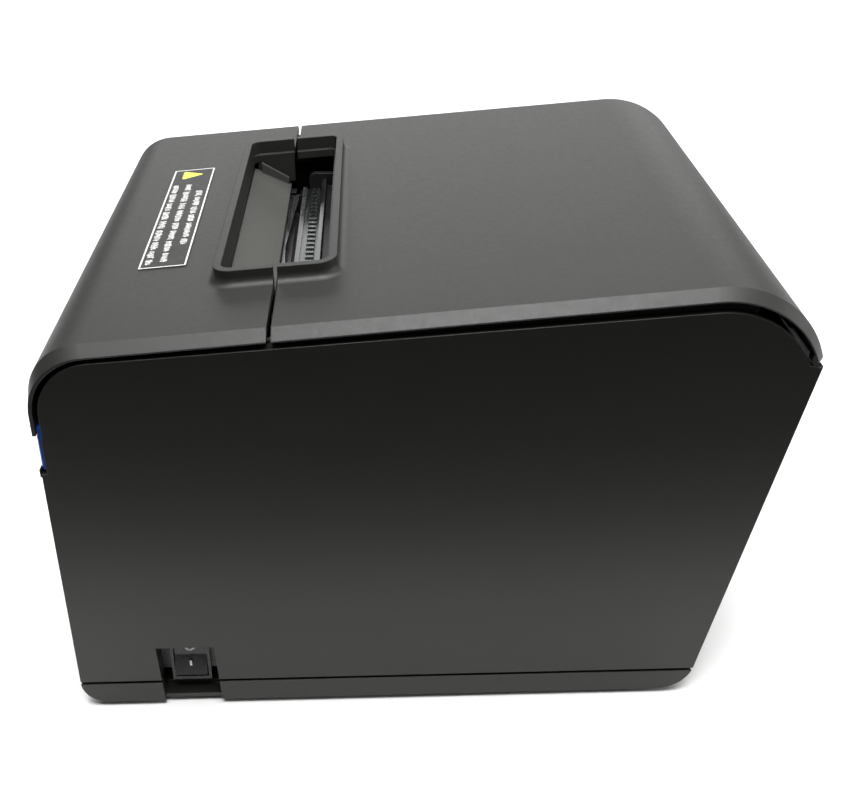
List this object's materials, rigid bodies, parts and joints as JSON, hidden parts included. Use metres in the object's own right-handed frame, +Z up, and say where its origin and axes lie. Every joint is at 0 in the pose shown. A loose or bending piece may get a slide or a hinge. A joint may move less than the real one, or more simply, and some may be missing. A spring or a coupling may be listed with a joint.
{
  "type": "receipt printer",
  "caption": "Desktop thermal receipt printer with a fixed front cover, a hinged roll lid, a raised paper-exit collar and an auto cutter",
  "frame": {"origin": "middle of the footprint at the level of the rubber feet's undersides", "axes": "+Z up, +Y from the front to the back, +X to the user's right"},
  "size_m": [0.1486, 0.1771, 0.1163],
  "materials": {
    "housing_black": "fine satin texture",
    "cover_black": "fine satin texture",
    "inner_black": "plain moulded",
    "exit_grey": "matt",
    "label_film": "printed film",
    "release_blue": "tinted, glossy",
    "panel_gloss": "polished",
    "lamp_clear": "clear",
    "key_grey": "satin",
    "chassis_steel": "zinc plated sheet",
    "bright_steel": "ground",
    "spring_steel": "drawn wire",
    "sink_aluminium": "extruded",
    "head_ceramic": "glazed",
    "platen_rubber": "ground",
    "foot_rubber": "moulded",
    "gear_white": "acetal",
    "brass": "turned",
    "motor_can": "plated",
    "board_green": "solder mask",
    "socket_black": "moulded",
    "socket_metal": "plated shell",
    "switch_black": "satin gloss",
    "ribbon": "flat cable",
    "screw_zinc": "zinc plated"
  },
  "bodies": {
    "root": {"base_tray": "housing_black", "board_screws": "screw_zinc", "buzzer": "inner_black", "chassis": "chassis_steel", "chassis_screws": "screw_zinc", "cutter_guide": "inner_black", "cutter_motor": "motor_can", "drawer_socket": "socket_black", "exit_plate": "exit_grey", "feed_motor": "motor_can", "front_cover": "cover_black", "head_pivot_pin": "bright_steel", "head_ribbon": "ribbon", "head_springs": "spring_steel", "hinge_pins": "bright_steel", "idler_pin": "bright_steel", "key_board": "board_green", "label": "label_film", "latch_spring": "spring_steel", "light_pipes": "lamp_clear", "main_board": "board_green", "main_housing": "housing_black", "near_end_sensor": "inner_black", "network_socket": "socket_metal", "paper_well": "inner_black", "power_socket": "socket_black", "rubber_feet": "foot_rubber", "serial_socket": "socket_metal", "socket_panel": "inner_black", "status_panel": "panel_gloss", "switch_body": "switch_black", "usb_socket": "socket_metal"},
    "lid": {"roll_lid": "cover_black", "platen_holder": "inner_black", "fixed_blade": "bright_steel", "blade_bracket": "bright_steel", "platen_bushings": "gear_white"},
    "platen": {"platen_rubber": "platen_rubber", "platen_shaft": "bright_steel", "platen_gear": "gear_white"},
    "idler": {"idler_gear": "gear_white"},
    "feed_drive": {"feed_pinion": "brass"},
    "head": {"heat_sink": "sink_aluminium", "print_head": "head_ceramic"},
    "blade": {"moving_blade": "bright_steel", "blade_carriage": "inner_black"},
    "cut_shaft": {"cutter_shaft": "bright_steel", "cutter_pinions": "gear_white", "cutter_gear": "gear_white"},
    "cut_drive": {"cutter_motor_pinion": "brass"},
    "latch": {"latch_shaft": "bright_steel", "latch_hook_left": "chassis_steel", "latch_hook_right": "chassis_steel", "latch_arm": "chassis_steel"},
    "release": {"release_button": "release_blue", "release_slide": "inner_black"},
    "rocker": {"switch_rocker": "switch_black"},
    "key": {"feed_key": "key_grey"}
  },
  "joints": [
    {"name": "lid_hinge", "type": "hinge", "parent": "root", "child": "lid", "pos_m": [0, 0.08679, 0.0994], "axis": [-1, 0, 0], "range_deg": [0, 75]},
    {"name": "platen_spin", "type": "hinge", "parent": "lid", "child": "platen", "pos_m": [0, -0.02561, 0.0875], "axis": [1, 0, 0], "continuous": true},
    {"name": "idler_spin", "type": "hinge", "parent": "root", "child": "idler", "pos_m": [0, -0.03666, 0.06144], "axis": [1, 0, 0], "continuous": true},
    {"name": "feed_drive_spin", "type": "hinge", "parent": "root", "child": "feed_drive", "pos_m": [0, -0.06001, 0.0477], "axis": [1, 0, 0], "continuous": true},
    {"name": "head_tilt", "type": "hinge", "parent": "root", "child": "head", "pos_m": [0, -0.03851, 0.0685], "axis": [1, 0, 0], "range_deg": [0, 1.2], "stiffness_Nm_per_rad": 2, "springref_deg": -2.86},
    {"name": "blade_slide", "type": "slide", "parent": "root", "child": "blade", "axis": [0, 1, 0], "range_m": [0, 0.008]},
    {"name": "cutter_turn", "type": "hinge", "parent": "root", "child": "cut_shaft", "pos_m": [0, -0.05801, 0.0865], "axis": [-1, 0, 0], "range_deg": [0, 92]},
    {"name": "cutter_drive_turn", "type": "hinge", "parent": "root", "child": "cut_drive", "pos_m": [0, -0.05801, 0.0696], "axis": [1, 0, 0], "range_deg": [0, 230]},
    {"name": "latch_turn", "type": "hinge", "parent": "root", "child": "latch", "pos_m": [0, -0.03051, 0.0725], "axis": [1, 0, 0], "range_deg": [0, 12], "stiffness_Nm_per_rad": 0.3, "springref_deg": -5.73},
    {"name": "release_press", "type": "slide", "parent": "root", "child": "release", "axis": [0, 1, 0], "range_m": [0, 0.00126]},
    {"name": "power_rocker", "type": "hinge", "parent": "root", "child": "rocker", "pos_m": [0.06775, -0.06031, 0.0128], "axis": [0, 1, 0], "range_deg": [0, 18]},
    {"name": "feed_key_press", "type": "slide", "parent": "root", "child": "key", "axis": [0, 1, 0], "range_m": [0, 0.0008], "stiffness_N_per_m": 400}
  ],
  "couplings": [
    {"joint": "idler_spin", "follows": "platen_spin", "ratio": -0.30556},
    {"joint": "feed_drive_spin", "follows": "platen_spin", "ratio": 1.2222},
    {"joint": "cutter_turn", "follows": "blade_slide", "rad_per_m": 200},
    {"joint": "cutter_drive_turn", "follows": "blade_slide", "rad_per_m": 500},
    {"joint": "release_press", "follows": "latch_turn", "m_per_rad": 0.006}
  ]
}
